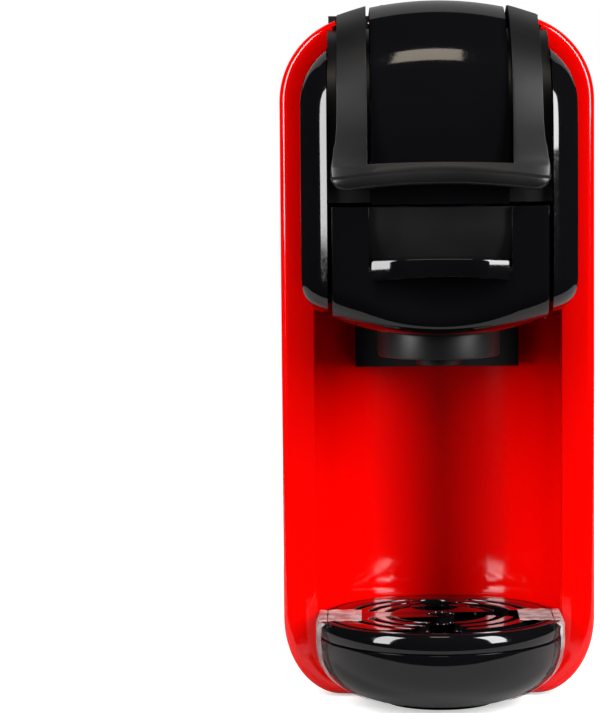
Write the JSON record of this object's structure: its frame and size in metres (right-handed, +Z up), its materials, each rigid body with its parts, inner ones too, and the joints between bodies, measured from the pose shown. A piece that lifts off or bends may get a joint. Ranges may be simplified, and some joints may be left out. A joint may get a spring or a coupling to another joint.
{
  "type": "pod coffee machine",
  "caption": "Slim pod coffee machine with a lever-closed brew head, pull-out capsule drawer, round drip tray with a slotted grid, and a lift-off water tank behind.",
  "frame": {"origin": "on the ground under the middle of the machine's bounding box", "axes": "+Z up, front faces -Y, +X to the right as seen from the front"},
  "size_m": [0.124, 0.303, 0.277],
  "materials": {
    "red_gloss": "high-gloss moulded ABS, solid red",
    "black_gloss": "high-gloss piano black",
    "black_satin": "satin moulded black",
    "dark_plastic": "moulded dark grey plastic",
    "white_plastic": "natural white polypropylene",
    "rubber": "soft black rubber",
    "steel": "zinc-plated or stainless steel",
    "brass": "turned brass",
    "cast_aluminium": "die-cast aluminium",
    "tank_smoke": "clear smoke-grey moulded plastic",
    "tape": "clear transit tape",
    "hose": "milky silicone hose",
    "board": "green glass-epoxy board",
    "pump_wrap": "moulded blue coil case"
  },
  "bodies": {
    "housing": {"side_shell_left": "red_gloss", "side_shell_right": "red_gloss", "bay_panel": "red_gloss", "head_shell": "black_gloss", "lever_well": "black_satin", "top_cover": "black_gloss", "button_board": "board", "button_switches": "dark_plastic", "base_plate": "dark_plastic", "rubber_feet": "rubber", "base_screws": "steel", "rear_cover": "black_satin", "rear_cover_screws": "steel", "tank_dock": "black_satin", "dock_socket": "white_plastic", "dock_seal": "rubber", "cord_gland": "black_satin", "brew_frame": "steel", "pivot_bushes": "brass", "brew_housing": "black_satin", "drawer_rails": "dark_plastic", "thermoblock": "cast_aluminium", "thermostats": "steel", "pump_coil": "pump_wrap", "pump_tube": "brass", "pump_mounts": "rubber", "flow_meter": "white_plastic", "suction_hose": "hose", "pressure_hose": "hose", "brew_hose": "hose", "power_board": "board", "board_components": "dark_plastic", "chassis_plate": "steel"},
    "lever": {"lever_handle": "black_satin", "lever_crank": "steel", "lever_caps": "black_satin"},
    "piston_unit": {"piston": "dark_plastic", "piston_seal": "rubber", "piercing_needles": "steel"},
    "drawer": {"drawer_front": "black_satin", "drawer_carrier": "dark_plastic", "drawer_grip": "black_gloss", "capsule_cup": "dark_plastic", "cup_sieve": "steel", "outlet_spout": "black_satin"},
    "espresso_key": {"espresso_button": "black_satin"},
    "lungo_key": {"lungo_button": "black_satin"},
    "tank": {"water_tank": "tank_smoke", "tank_filter": "white_plastic", "lid_hinge_pin": "steel", "valve_spring": "steel"},
    "tank_plunger": {"tank_valve": "white_plastic"},
    "lid": {"tank_lid": "black_satin"},
    "tray": {"drip_bowl": "black_gloss", "tray_rim": "black_gloss", "bowl_tapes": "tape"},
    "grid": {"drip_grid": "black_gloss", "grid_tapes": "tape"}
  },
  "joints": [
    {"name": "lever_lift", "type": "hinge", "parent": "housing", "child": "lever", "pos_m": [0, -0.058, 0.256], "axis": [-1, 0, 0], "range_deg": [0, 75]},
    {"name": "piston_slide", "type": "slide", "parent": "housing", "child": "piston_unit", "axis": [0, 0, 1], "range_m": [0, 0.00846]},
    {"name": "drawer_slide", "type": "slide", "parent": "housing", "child": "drawer", "axis": [0, -1, 0], "range_m": [0, 0.1]},
    {"name": "espresso_press", "type": "slide", "parent": "housing", "child": "espresso_key", "axis": [0, 0, -1], "range_m": [0, 0.0012], "stiffness_N_per_m": 700},
    {"name": "lungo_press", "type": "slide", "parent": "housing", "child": "lungo_key", "axis": [0, 0, -1], "range_m": [0, 0.0012], "stiffness_N_per_m": 700},
    {"name": "tank_lift", "type": "slide", "parent": "housing", "child": "tank", "axis": [0, 0, 1], "range_m": [0, 0.12]},
    {"name": "valve_push", "type": "slide", "parent": "tank", "child": "tank_plunger", "axis": [0, 0, 1], "range_m": [0, 0.002], "stiffness_N_per_m": 200, "deforming": ["valve_spring"]},
    {"name": "lid_hinge", "type": "hinge", "parent": "tank", "child": "lid", "pos_m": [0, 0.1445, 0.2557], "axis": [-1, 0, 0], "range_deg": [0, 95]},
    {"name": "tray_slide", "type": "slide", "parent": "housing", "child": "tray", "axis": [0, -1, 0], "range_m": [0, 0.06]},
    {"name": "grid_lift", "type": "slide", "parent": "tray", "child": "grid", "axis": [0, 0, 1], "range_m": [0, 0.03]}
  ],
  "couplings": [
    {"joint": "piston_slide", "follows": "lever_lift", "m_per_rad": 0.00645}
  ]
}
